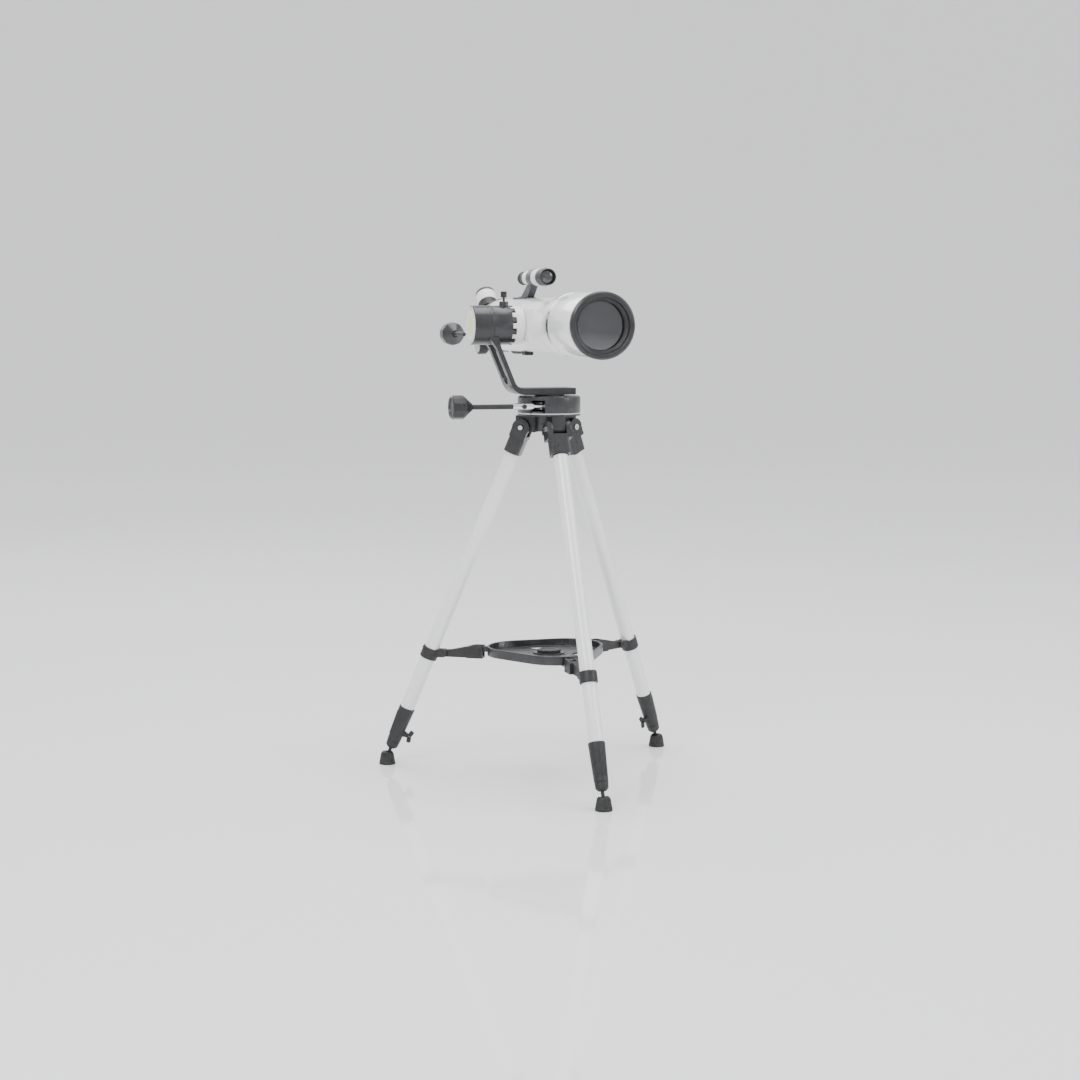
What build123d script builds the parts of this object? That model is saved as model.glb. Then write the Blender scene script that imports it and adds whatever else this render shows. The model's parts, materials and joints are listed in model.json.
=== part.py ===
from build123d import *
import math
import os

# Small refractor telescope on a one-armed altazimuth head and a three-legged stand.
# Millimetres.  +Z is up, the tube looks along -Y, the altitude drum is on the -X side.
# The origin lies on the floor, on the vertical azimuth axis.

# ---------------------------------------------------------------- driving dimensions
RUN_FIT = 0.05            # radial clearance of a shaft that turns in its bore
GAP = 0.4                 # clearance between faces that pass each other

# legs
LEG_NAMES = ("front", "right", "left")
HINGE_R = 51.0            # hinge bolt, distance from the azimuth axis
HINGE_Z = 672.0
BALL_R = 329.0            # foot ball, distance from the azimuth axis
BALL_Z = 16.0
LEG_TUBE_R = 14.0
LEG_TUBE_WALL = 1.2
INNER_LEG_R = 11.0
COLLAR_Z = 227.0          # height of the brace pins and of the leg collars
COLLAR_PIN_R = 211.0
TRAY_PIN_R = 138.0
TRAY_PIN_Z = 235.0

# azimuth unit
DRUM_R = 60.0
PLATE_BOTTOM_Z = 695.2
PLATE_TOP_Z = 698.4
DRUM_BOTTOM_Z = 701.0
DRUM_TOP_Z = 733.0
AZ_WORM_Y = -41.0
AZ_WORM_Z = 714.5
AZ_WHEEL_R = 35.0
SPINDLE_R = 8.0

# arm
ARM_BOTTOM_Z = 735.7
ARM_TOP_Z = 748.4
ARM_HALF_WIDTH = 31.0
ARM_SLOT_HALF = 17.5
ARM_LEAN = 22.4           # degrees from the vertical
ARM_THICK = 8.6

# altitude unit, on an axis along X
AXIS_Z = 867.0
ALT_R = 37.0
ALT_LEFT_X = -155.0
ALT_RING_LEFT_X = -125.0
ALT_RING_RIGHT_X = -118.0
CLUTCH_END_X = -82.0
TOOTH_END_X = -74.4
TOOTH_COUNT = 10
ALT_WORM_X = -138.0
ALT_WORM_DROP = 17.5
ALT_WHEEL_R = 13.0
ALT_SHAFT_R = 7.0

# flexible-drive handles, the same on both axes
COUPLING_R = 6.0
COUPLING_LENGTH = 40.0
DRIVE_SHAFT_R = 4.7
DRIVE_SHAFT_LENGTH = 80.0
KNOB_R = 22.5
KNOB_LENGTH = 41.0

# optical tube, on an axis along Y
FRONT_Y = -319.0
RING_R = 60.2
DEW_R = 59.4
DEW_END_Y = -182.0
TRIM_END_Y = -163.0
FLARE_END_Y = -62.0
TUBE_R = 52.5
TUBE_REAR_Y = 300.0
TUBE_WALL = 1.4
LENS_R = 45.0
FOCUSER_R = 33.5
FOCUSER_END_Y = 356.0
DRAWTUBE_R = 22.0
PINION_Y = 342.0
PINION_R = 10.0
PINION_DROP = 41.7
DIAGONAL_Y = 387.0

# finder
FINDER_Z = 958.5
FINDER_R = 13.6
FINDER_FRONT_R = 16.8

# tray
TRAY_R = 121.0            # at the corners, which point at the legs
TRAY_SIDE_R = 97.0        # at the middles of the sides
TRAY_TOP_Z = 247.0
TRAY_FLOOR_Z = 235.0
TRAY_SKIRT_Z = 230.0
TRAY_HOLE_R = 19.0
TRAY_HOLE_PITCH_R = 66.0

# ---------------------------------------------------------------- derived values
LEG_LEAN = math.degrees(math.atan2(BALL_R - HINGE_R, HINGE_Z - BALL_Z))
LEG_LENGTH = math.hypot(BALL_R - HINGE_R, HINGE_Z - BALL_Z)
ALT_WORM_Z = AXIS_Z - ALT_WORM_DROP
PINION_Z = AXIS_Z - PINION_DROP

MIN_Z = (Align.CENTER, Align.CENTER, Align.MIN)


# ---------------------------------------------------------------- shape helpers
def rod(start, end, radius):
    """A solid cylinder between two points."""
    a, b = Vector(*start), Vector(*end)
    return Plane(origin=a, z_dir=b - a) * Cylinder(radius, (b - a).length, align=MIN_Z)


def cone(start, end, radius_start, radius_end):
    """A frustum between two points."""
    a, b = Vector(*start), Vector(*end)
    return Plane(origin=a, z_dir=b - a) * Cone(radius_start, radius_end, (b - a).length, align=MIN_Z)


def block(low, high):
    """A box between its lowest and highest corners."""
    size = [h - l for l, h in zip(low, high)]
    return Pos(*low) * Box(*size, align=(Align.MIN, Align.MIN, Align.MIN))


def turned(profile, origin, direction):
    """A closed (radius, height) outline turned about an axis through origin."""
    outline = Polyline([(r, h) for r, h in profile], close=True)
    face = make_face(Plane.XZ * outline)
    return Plane(origin=Vector(*origin), z_dir=Vector(*direction)) * revolve(face, Axis.Z)


def around_z(shape, count, first=0.0):
    """Copies of a shape at equal angles about the Z axis."""
    return [Rot(0, 0, first + i * 360 / count) * shape for i in range(count)]


def group(shapes):
    """Several separate solids kept in one node."""
    return Compound(children=[Part() + s if isinstance(s, ShapeList) else s for s in shapes])


# ---------------------------------------------------------------- legs, in their own frame
# Leg frame: origin on the hinge bolt, +Z up along the leg, +X along the bolt,
# -Y away from the stand's centre.
def leg_place(index):
    """Where the leg frame of one leg lies in the stand."""
    return Rot(0, 0, 120 * index) * Pos(0, -HINGE_R, HINGE_Z) * Rot(-LEG_LEAN, 0, 0)


EAR_R = 16.8
EAR_OUT_X = 23.5
FORK_HALF = 13.4
FORK_DEPTH = 14.5
BRACKET_BOTTOM = -53.0
BRACKET_HALF_X = 17.8
BRACKET_HALF_Y = 15.8
BOLT_R = 3.5


def leg_bracket():
    """Forked socket that holds the top of a leg tube and turns on the hinge bolt."""
    socket = block(
        (-BRACKET_HALF_X, -BRACKET_HALF_Y, BRACKET_BOTTOM), (BRACKET_HALF_X, BRACKET_HALF_Y, -FORK_DEPTH))
    socket = fillet(socket.edges().filter_by(Axis.Z), 5)
    ears = rod((-EAR_OUT_X, 0, 0), (EAR_OUT_X, 0, 0), EAR_R)
    ears += block((-EAR_OUT_X, -BRACKET_HALF_Y, -22), (EAR_OUT_X, BRACKET_HALF_Y, 0))
    body = socket + ears
    body -= block((-FORK_HALF, -30, -FORK_DEPTH), (FORK_HALF, 30, 30))
    body -= rod((-40, 0, 0), (40, 0, 0), BOLT_R + RUN_FIT)
    body -= rod((0, 0, BRACKET_BOTTOM - 1), (0, 0, -24), LEG_TUBE_R)
    for side in (-1, 1):
        body -= rod((side * (EAR_OUT_X - 1.6), 0, 0), (side * 40, 0, 0), 6.4)
    return body


def hinge_bolt():
    """Socket-head bolt through a bracket and its lug, with a dome nut at the far end."""
    bolt = rod((-EAR_OUT_X + 1.2, 0, 0), (EAR_OUT_X - 1.2, 0, 0), BOLT_R)
    head = rod((-EAR_OUT_X - 2.5, 0, 0), (-EAR_OUT_X + 1.2, 0, 0), 5.6)
    head -= Pos(-EAR_OUT_X - 2.6, 0, 0) * Rot(0, 90, 0) * extrude(RegularPolygon(3.0, 6), 2.6)
    nut = cone((EAR_OUT_X - 1.2, 0, 0), (EAR_OUT_X + 2.4, 0, 0), 5.8, 4.4)
    return bolt + head + nut


def leg_tube():
    """Upper leg tube, from the bracket's socket down into the lower sleeve."""
    bottom = -SLEEVE_TOP - 34
    outer = rod((0, 0, bottom), (0, 0, -24), LEG_TUBE_R)
    return outer - rod((0, 0, bottom - 1), (0, 0, -23), LEG_TUBE_R - LEG_TUBE_WALL)


SLEEVE_TOP = 604.0        # distances below the hinge bolt, along the leg
SLEEVE_BOTTOM = 677.0
SLEEVE_TOP_R = 15.9
SLEEVE_BOTTOM_R = 13.2
WING_DROP = 657.0


def sleeve_radius(drop):
    """Outside radius of the tapered sleeve at a distance below the hinge."""
    share = (drop - SLEEVE_TOP) / (SLEEVE_BOTTOM - SLEEVE_TOP)
    return SLEEVE_TOP_R + share * (SLEEVE_BOTTOM_R - SLEEVE_TOP_R)


def leg_sleeve():
    """Clamp sleeve at the lower end of the leg tube, with grip ribs and a screw boss."""
    outline = [
        (LEG_TUBE_R, -SLEEVE_TOP),
        (SLEEVE_TOP_R - 0.8, -SLEEVE_TOP),
        (SLEEVE_TOP_R, -SLEEVE_TOP - 0.8),
        (SLEEVE_BOTTOM_R, -SLEEVE_BOTTOM + 1),
        (SLEEVE_BOTTOM_R - 1, -SLEEVE_BOTTOM),
        (INNER_LEG_R + 0.35, -SLEEVE_BOTTOM),
        (INNER_LEG_R + 0.35, -SLEEVE_TOP - 34),
        (LEG_TUBE_R, -SLEEVE_TOP - 34),
    ]
    body = turned(outline, (0, 0, 0), (0, 0, 1))
    for angle in (-36, -18, 0, 18, 36):
        lean = math.degrees(math.atan2(SLEEVE_TOP_R - SLEEVE_BOTTOM_R, SLEEVE_BOTTOM - SLEEVE_TOP))
        rib = rod((0, -sleeve_radius(SLEEVE_TOP + 12) + 0.1, -SLEEVE_TOP - 12),
                  (0, -sleeve_radius(SLEEVE_TOP + 62) + 0.1, -SLEEVE_TOP - 62), 0.9)
        body += Rot(0, 0, angle) * rib
    boss = rod((0, 8, -WING_DROP), (0, sleeve_radius(WING_DROP) + 3.2, -WING_DROP), 6.0)
    body += boss - rod((0, 0, -WING_DROP - 20), (0, 0, -WING_DROP + 20), LEG_TUBE_R - 1)
    body -= rod((0, 0, -SLEEVE_BOTTOM - 1), (0, 0, -SLEEVE_TOP - 34), INNER_LEG_R + 0.35)
    body -= rod((0, 0, -SLEEVE_TOP - 34), (0, 0, -SLEEVE_TOP + 1), LEG_TUBE_R)
    body -= rod((0, 11, -WING_DROP), (0, 30, -WING_DROP), 2.5 + RUN_FIT)
    for drop in (16, 24, 32):
        body -= rod((0, 14.2, -SLEEVE_TOP - drop), (0, 20, -SLEEVE_TOP - drop), 1.4)
    return body


def wing_screw():
    """Thumb screw with two wings, on the inner side of the sleeve."""
    face = sleeve_radius(WING_DROP) + 3.2
    screw = rod((0, INNER_LEG_R + 0.4, -WING_DROP), (0, face + 3, -WING_DROP), 2.5)
    screw += cone((0, face + GAP, -WING_DROP), (0, face + 8, -WING_DROP), 5.2, 4.0)
    for side in (-1, 1):
        wing = Pos(0, face + 8.5, 0) * Box(3.2, 9, 12, align=(Align.CENTER, Align.CENTER, Align.MIN))
        wing = fillet(wing.edges().filter_by(Axis.X), 2.5)
        wing = fillet(wing.edges(), 1.0)
        tilt = Pos(0, face + 5, 0) * Rot(-14, 0, 0) * Pos(0, -face - 5, 0)
        turn = Rot(0, 0 if side > 0 else 180, 0)
        screw += Pos(0, 0, -WING_DROP) * turn * tilt * Pos(0, 0, 1.5) * wing
    return screw


def inner_leg():
    """Sliding lower leg: tube, end plug and the ball stud that carries the foot."""
    plug_top = -SLEEVE_BOTTOM - GAP
    outline = [
        (0, -300),
        (INNER_LEG_R, -300),
        (INNER_LEG_R, plug_top),
        (12.6, plug_top),
        (11.8, plug_top - 11),
        (7.5, plug_top - 15.5),
        (3.2, plug_top - 15.5),
        (3.2, -LEG_LENGTH),
        (0, -LEG_LENGTH),
    ]
    body = turned(outline, (0, 0, 0), (0, 0, 1))
    body -= rod((0, 0, plug_top + 6), (0, 0, -299), INNER_LEG_R - 1.1)
    ball = Pos(0, 0, -LEG_LENGTH) * Sphere(FOOT_BALL_R)
    return body + ball + rod((-8, 0, -LEG_LENGTH), (8, 0, -LEG_LENGTH), FOOT_PIN_R)


FOOT_BALL_R = 5.6
FOOT_PIN_R = 1.6
FOOT_BASE_R = 16.2
FOOT_TOP_R = 10.2
FOOT_HEIGHT = 25.0
FOOT_RIBS = 18


def rubber_foot():
    """Bell-shaped foot on the leg's ball, in the stand's frame under the first leg."""
    outline = [
        (0, 0),
        (FOOT_BASE_R - 0.8, 0),
        (FOOT_BASE_R, 0.8),
        (FOOT_BASE_R - 0.3, 4),
        (FOOT_BASE_R - 1.6, 6),
        (FOOT_BASE_R - 2.6, 14),
        (FOOT_TOP_R + 1.6, FOOT_HEIGHT - 3),
        (FOOT_TOP_R, FOOT_HEIGHT),
        (0, FOOT_HEIGHT),
    ]
    foot = turned(outline, (0, 0, 0), (0, 0, 1))
    rib = rod((FOOT_BASE_R - 1.7, 0, 5), (FOOT_TOP_R + 1.3, 0, FOOT_HEIGHT - 3), 1.1)
    for copy in around_z(rib, FOOT_RIBS):
        foot += copy
    foot -= Pos(0, 0, BALL_Z) * Sphere(FOOT_BALL_R + RUN_FIT)
    foot -= rod((-8.3, 0, BALL_Z), (8.3, 0, BALL_Z), FOOT_PIN_R + RUN_FIT)
    tilt = Rot(-LEG_LEAN, 0, 0)
    foot -= Pos(0, 0, BALL_Z) * tilt * Cone(3.3, 9.5, 14, align=MIN_Z)
    return Pos(0, -BALL_R, 0) * foot


COLLAR_DROP = (HINGE_Z - COLLAR_Z) / math.cos(math.radians(LEG_LEAN))
COLLAR_HALF = 11.0
PIN_R = 2.5


def collar_pin_point():
    """The brace pin of the first leg, in the stand's frame."""
    return (0, -COLLAR_PIN_R, COLLAR_Z)


def brace_collar():
    """Band round the leg tube with two ears and the brace pin, in the leg frame."""
    band = rod((0, 0, -COLLAR_DROP - COLLAR_HALF), (0, 0, -COLLAR_DROP + COLLAR_HALF), LEG_TUBE_R + 3.2)
    band = fillet(band.edges(), 1.2)
    to_leg = leg_place(0).inverse()
    place = to_leg * Pos(*collar_pin_point())
    ears = rod((-10, 0, 0), (10, 0, 0), 7.5) + block((-10, -26, -7.5), (10, 0, 7.5))
    ears -= block((-5.4, -12.5, -30), (5.4, 30, 30))
    collar = band + place * ears
    collar -= rod((0, 0, -COLLAR_DROP - 40), (0, 0, -COLLAR_DROP + 40), LEG_TUBE_R)
    return collar + place * rod((-11.5, 0, 0), (11.5, 0, 0), PIN_R)


def brace():
    """Spreader link between a leg collar and the tray, in the first leg's stand frame."""
    low = COLLAR_Z - 6.6
    outline = Polyline(
        [
            (-COLLAR_PIN_R - 6.0, COLLAR_Z - 3),
            (-COLLAR_PIN_R - 6.0, COLLAR_Z + 3),
            (-COLLAR_PIN_R - 3.0, COLLAR_Z + 6.8),
            (-COLLAR_PIN_R + 16, COLLAR_Z + 8.0),
            (-TRAY_PIN_R - 16, COLLAR_Z + 17),
            (-TRAY_PIN_R - 10, COLLAR_Z + 18),
            (-TRAY_PIN_R + 7, COLLAR_Z + 18),
            (-TRAY_PIN_R + 7, low - 0.4),
            (-COLLAR_PIN_R - 3.0, low),
        ],
        close=True,
    )
    plate = extrude(make_face(Plane.YZ * outline), 5.0, both=True)
    cheek = extrude(make_face(Plane.YZ * outline), 11.0, both=True)
    cheek &= block((-11, -TRAY_PIN_R - 26, 200), (11, -TRAY_PIN_R + 7, 260))
    body = plate + cheek
    body -= block((-6.2, -TRAY_PIN_R - 17, low + 4), (6.2, -TRAY_PIN_R + 20, 270))
    body -= rod((-20, -COLLAR_PIN_R, COLLAR_Z), (20, -COLLAR_PIN_R, COLLAR_Z), PIN_R + RUN_FIT)
    return body + rod((-12.5, -TRAY_PIN_R, TRAY_PIN_Z), (12.5, -TRAY_PIN_R, TRAY_PIN_Z), PIN_R)


# ---------------------------------------------------------------- hub and azimuth unit
def hub_casting():
    """Top plate with a centre boss and three hinge lugs."""
    body = rod((0, 0, PLATE_BOTTOM_Z), (0, 0, PLATE_TOP_Z), DRUM_R)
    body += rod((0, 0, PLATE_BOTTOM_Z - 30), (0, 0, PLATE_BOTTOM_Z), 27)
    lug = rod((-13, -HINGE_R, HINGE_Z), (13, -HINGE_R, HINGE_Z), 12)
    lug += block((-13, -HINGE_R - 12, HINGE_Z), (13, -24, PLATE_BOTTOM_Z))
    lug += block((-13, -HINGE_R, HINGE_Z - 9), (13, -24, HINGE_Z))
    lug -= rod((-20, -HINGE_R, HINGE_Z), (20, -HINGE_R, HINGE_Z), BOLT_R)
    for copy in around_z(lug, 3):
        body += copy
    return body - rod((0, 0, 600), (0, 0, 800), SPINDLE_R)


def azimuth_spindle():
    """Steel spindle through the hub, and the worm wheel keyed to it."""
    shaft = rod((0, 0, PLATE_BOTTOM_Z - 38), (0, 0, DRUM_TOP_Z - 1), SPINDLE_R)
    shaft += rod((0, 0, PLATE_BOTTOM_Z - 38), (0, 0, PLATE_BOTTOM_Z - 30), 14)
    wheel = rod((0, 0, AZ_WORM_Z - 7), (0, 0, AZ_WORM_Z + 7), AZ_WHEEL_R)
    tooth = Pos(AZ_WHEEL_R, 0, AZ_WORM_Z) * Box(3.0, 1.6, 16)
    for copy in around_z(tooth, 48):
        wheel -= copy
    wheel += rod((0, 0, PLATE_TOP_Z), (0, 0, AZ_WORM_Z - 7), 14)
    wheel -= rod((0, 0, 600), (0, 0, 800), SPINDLE_R)
    return group([shaft, wheel])


def azimuth_housing():
    """Drum that turns on the hub, with a notch for the worm shaft and a collar on top."""
    bevel = 2.6
    outline = [
        (SPINDLE_R + RUN_FIT, DRUM_TOP_Z - 6),
        (DRUM_R - 5, DRUM_TOP_Z - 6),
        (DRUM_R - 5, DRUM_BOTTOM_Z),
        (DRUM_R, DRUM_BOTTOM_Z),
        (DRUM_R, DRUM_TOP_Z - bevel),
        (DRUM_R - bevel, DRUM_TOP_Z),
        (29, DRUM_TOP_Z),
        (29, ARM_BOTTOM_Z),
        (SPINDLE_R + RUN_FIT, ARM_BOTTOM_Z),
    ]
    body = turned(outline, (0, 0, 0), (0, 0, 1))
    flute = Pos(DRUM_R + 1.0, 0, DRUM_TOP_Z + 0.2) * Sphere(3.6)
    for copy in around_z(flute, 18, 5):
        body -= copy
    for side in (-1, 1):
        low_x = min(side * 15, side * 25)
        bearing = block((low_x, -54, AZ_WORM_Z - 9), (low_x + 10, -33.4, DRUM_TOP_Z - 5))
        body += bearing & rod((0, 0, 690), (0, 0, 740), DRUM_R - 3)
    notch = block((-58, -64, DRUM_BOTTOM_Z + 1.5), (-25, -33.2, DRUM_TOP_Z - 7.5))
    body -= notch
    return body - rod((-30, AZ_WORM_Y, AZ_WORM_Z), (40, AZ_WORM_Y, AZ_WORM_Z), 3.5 + RUN_FIT)


def azimuth_trim_ring():
    """Bright ring along the drum's lower edge."""
    outline = [
        (DRUM_R - 6, PLATE_TOP_Z + GAP),
        (DRUM_R + 0.3, PLATE_TOP_Z + GAP),
        (DRUM_R + 0.3, DRUM_BOTTOM_Z),
        (DRUM_R - 6, DRUM_BOTTOM_Z),
    ]
    return turned(outline, (0, 0, 0), (0, 0, 1))


# ---------------------------------------------------------------- worm drives
# Drive frame: the shaft runs along +Z from the worm at the origin to the handle.
def drive_worm(thread_r, thread_half, shaft_r, tail, coupling_start):
    """Worm, its shaft and the coupling sleeve as one turned piece."""
    outline = [(0, -tail), (shaft_r, -tail), (shaft_r, -thread_half)]
    turns = 6
    pitch = 2 * thread_half / turns
    for i in range(turns):
        start = -thread_half + i * pitch
        outline.append((thread_r - 1.4, start))
        outline.append((thread_r, start + 0.35 * pitch))
        outline.append((thread_r, start + 0.65 * pitch))
    outline += [
        (thread_r - 1.4, thread_half),
        (shaft_r, thread_half),
        (shaft_r, coupling_start),
        (COUPLING_R - 0.8, coupling_start),
        (COUPLING_R, coupling_start + 0.8),
        (COUPLING_R, coupling_start + COUPLING_LENGTH - 0.8),
        (COUPLING_R - 0.8, coupling_start + COUPLING_LENGTH),
        (0, coupling_start + COUPLING_LENGTH),
    ]
    return turned(outline, (0, 0, 0), (0, 0, 1))


def drive_shaft(coupling_start):
    """Covered spring shaft, and the thumb screw that fixes the coupling."""
    start = coupling_start + COUPLING_LENGTH
    shaft = rod((0, 0, start), (0, 0, start + DRIVE_SHAFT_LENGTH), DRIVE_SHAFT_R)
    screw_z = coupling_start + COUPLING_LENGTH / 2
    screw = rod((0, -COUPLING_R, screw_z), (0, -COUPLING_R - 2, screw_z), 2.0)
    screw += rod((0, -COUPLING_R - 2, screw_z), (0, -COUPLING_R - 6, screw_z), 4.4)
    return group([shaft, screw])


def drive_knob(coupling_start):
    """Ten-sided handle with a cone towards the shaft and a dished end."""
    start = coupling_start + COUPLING_LENGTH + DRIVE_SHAFT_LENGTH
    outline = [
        (0, start),
        (7.0, start),
        (8.5, start + 2),
        (KNOB_R - 2, start + 15),
        (KNOB_R, start + 18),
        (KNOB_R, start + KNOB_LENGTH - 3),
        (KNOB_R - 2.5, start + KNOB_LENGTH),
        (KNOB_R - 5, start + KNOB_LENGTH),
        (KNOB_R - 6.5, start + KNOB_LENGTH - 3.5),
        (0, start + KNOB_LENGTH - 3.5),
    ]
    knob = turned(outline, (0, 0, 0), (0, 0, 1))
    sides = extrude(RegularPolygon(KNOB_R + 0.4, 10), start + KNOB_LENGTH + 1)
    return knob & sides


def azimuth_drive_place():
    """Drive frame of the azimuth worm: handle towards -X, thumb screw towards -Y."""
    return Plane(origin=Vector(0, AZ_WORM_Y, AZ_WORM_Z), x_dir=Vector(0, 0, 1), z_dir=Vector(-1, 0, 0))


def altitude_drive_place():
    """Drive frame of the altitude worm: handle towards +Y, thumb screw outward."""
    return Plane(origin=Vector(ALT_WORM_X, 0, ALT_WORM_Z), x_dir=Vector(0, 0, 1), z_dir=Vector(0, 1, 0))


AZ_COUPLING_START = 44.4
ALT_COUPLING_START = 56.0


# ---------------------------------------------------------------- arm
def fork_arm():
    """Bent arm: flat base on the azimuth drum, slotted upright, ring round the altitude shaft."""
    lean = math.radians(ARM_LEAN)
    step = Vector(-math.sin(lean), math.cos(lean))
    out = Vector(-math.cos(lean), -math.sin(lean))
    corner = Vector(-71.6, ARM_TOP_Z)
    inner_radius, outer_radius = 17.0, 30.0
    top = corner + step * 120
    corner_out = corner + out * ARM_THICK
    base_out = corner_out - step * ((corner_out.Y - ARM_BOTTOM_Z) / step.Y)
    points = [
        (44, ARM_BOTTOM_Z),
        (44, ARM_TOP_Z),
        (corner.X, corner.Y),
        (top.X, top.Y),
        (top.X + out.X * ARM_THICK, top.Y + out.Y * ARM_THICK),
        (base_out.X, base_out.Y),
    ]
    face = make_face(Plane.XZ * Polyline(points, close=True))
    body = extrude(face, ARM_HALF_WIDTH, both=True)
    along = body.edges().filter_by(Axis.Y)
    body = fillet(along.sort_by_distance((corner.X, 0, corner.Y))[:1], inner_radius)
    along = body.edges().filter_by(Axis.Y)
    body = fillet(along.sort_by_distance((base_out.X, 0, base_out.Y))[:1], outer_radius)
    neck = Polyline(
        [(-112, 823), (ALT_RING_LEFT_X, 842), (ALT_RING_LEFT_X, 860), (-112, 860), (-103, 823)], close=True)
    body -= block((-200, -60, AXIS_Z - 10), (-50, 60, AXIS_Z + 60))
    body += extrude(make_face(Plane.XZ * neck), ARM_HALF_WIDTH, both=True)
    body -= block((-200, -60, 700), (ALT_RING_LEFT_X, 60, AXIS_Z + 60))
    # slot with round ends, cut square to the leaning upright
    slot_low = Vector(-82.6, 0, 775)
    slot_high = Vector(-108.5, 0, 838)
    cutter = Plane(origin=slot_low, x_dir=Vector(0, 1, 0), z_dir=Vector(-math.cos(lean), 0, -math.sin(lean)))
    length = (slot_high - slot_low).length
    slot = Pos(0, 0, -40) * extrude(
        Pos(0, length / 2) * Rectangle(2 * ARM_SLOT_HALF, length) + Circle(ARM_SLOT_HALF), 80)
    up_is_y = cutter.y_dir.Z > 0
    body -= cutter * (slot if up_is_y else Rot(0, 0, 180) * slot)
    ring = rod((ALT_RING_LEFT_X, 0, AXIS_Z), (ALT_RING_RIGHT_X, 0, AXIS_Z), ALT_R + 0.4)
    body -= block((-140, -ARM_SLOT_HALF, 815), (-90, ARM_SLOT_HALF, AXIS_Z - 33))
    body -= rod((ALT_RING_RIGHT_X, 0, AXIS_Z), (-60, 0, AXIS_Z), ALT_R + 0.5)
    body += ring
    body -= rod((-140, 0, AXIS_Z), (-100, 0, AXIS_Z), ALT_SHAFT_R + RUN_FIT)
    return body


# ---------------------------------------------------------------- altitude unit
def altitude_housing():
    """Cup that closes the altitude worm gear, with a tubular bearing for the worm."""
    outline = [
        (0, 0),
        (ALT_R - 1.2, 0),
        (ALT_R, 1.2),
        (ALT_R, ALT_RING_LEFT_X - ALT_LEFT_X),
        (ALT_R - 4.5, ALT_RING_LEFT_X - ALT_LEFT_X),
        (ALT_R - 4.5, 4),
        (0, 4),
    ]
    body = turned(outline, (ALT_LEFT_X, 0, AXIS_Z), (1, 0, 0))
    bearing = rod((ALT_WORM_X, 18, ALT_WORM_Z), (ALT_WORM_X, 54, ALT_WORM_Z), 9)
    bearing += rod((ALT_WORM_X, -28, ALT_WORM_Z), (ALT_WORM_X, -19, ALT_WORM_Z), 8)
    body += bearing
    body -= rod((ALT_WORM_X, -25, ALT_WORM_Z), (ALT_WORM_X, 60, ALT_WORM_Z), 3.0 + RUN_FIT)
    return body


def altitude_dial():
    """Thin white plate on the outer end of the altitude housing."""
    return rod((ALT_LEFT_X - 1.0, 0, AXIS_Z), (ALT_LEFT_X, 0, AXIS_Z), ALT_R - 2.4)


def altitude_worm_wheel():
    """Worm wheel and the altitude shaft that carries the clutch drum."""
    wheel = rod((ALT_WORM_X - 6, 0, AXIS_Z), (ALT_WORM_X + 6, 0, AXIS_Z), ALT_WHEEL_R)
    tooth = Pos(ALT_WORM_X, ALT_WHEEL_R, AXIS_Z) * Box(14, 2.4, 1.2)
    for i in range(24):
        turn = Pos(0, 0, AXIS_Z) * Rot(i * 15, 0, 0) * Pos(0, 0, -AXIS_Z)
        wheel -= turn * tooth
    return wheel + rod((ALT_WORM_X - 8, 0, AXIS_Z), (CLUTCH_END_X, 0, AXIS_Z), ALT_SHAFT_R)


LOCK_X = -90.0


def altitude_clutch():
    """Drum on the tube's side of the arm, with square teeth and the lock boss."""
    start = ALT_RING_RIGHT_X + GAP
    body = rod((start, 0, AXIS_Z), (CLUTCH_END_X, 0, AXIS_Z), ALT_R)
    sector = Pos(0, 0, AXIS_Z) * Rot(0, 90, 0) * Pos(0, 0, CLUTCH_END_X) * extrude(
        make_face(Polyline([(0, 0), (60, -7.3), (60, 7.3)], close=True)), TOOTH_END_X - CLUTCH_END_X)
    rim = rod((CLUTCH_END_X, 0, AXIS_Z), (TOOTH_END_X, 0, AXIS_Z), ALT_R)
    rim -= rod((CLUTCH_END_X - 1, 0, AXIS_Z), (TOOTH_END_X + 1, 0, AXIS_Z), ALT_R - 8)
    for i in range(TOOTH_COUNT):
        turn = Pos(0, 0, AXIS_Z) * Rot(i * 360 / TOOTH_COUNT + 2, 0, 0) * Pos(0, 0, -AXIS_Z)
        body += rim & (turn * sector)
    body += cone((LOCK_X, 0, AXIS_Z + 30), (LOCK_X, 0, AXIS_Z + 44.5), 9.5, 8.6)
    body -= rod((start - 1, 0, AXIS_Z), (CLUTCH_END_X, 0, AXIS_Z), ALT_SHAFT_R)
    return body - rod((LOCK_X, 0, AXIS_Z + 20), (LOCK_X, 0, AXIS_Z + 60), 2.2 + RUN_FIT)


def clutch_lock_knob():
    """Knurled thumb screw on the lock boss."""
    top = AXIS_Z + 63.5
    knob = turned(
        [
            (0, AXIS_Z + 22),
            (2.2, AXIS_Z + 22),
            (2.2, top - 11.5),
            (5.2, top - 11.5),
            (5.8, top - 10.8),
            (5.8, top - 0.8),
            (5.0, top),
            (0, top),
        ],
        (LOCK_X, 0, 0),
        (0, 0, 1),
    )
    groove = rod((6.3, 0, top - 20), (6.3, 0, top + 5), 0.8)
    for copy in around_z(groove, 16):
        knob -= Pos(LOCK_X, 0, 0) * (copy & rod((0, 0, top - 11.5), (0, 0, top + 5), 20))
    return knob


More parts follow.
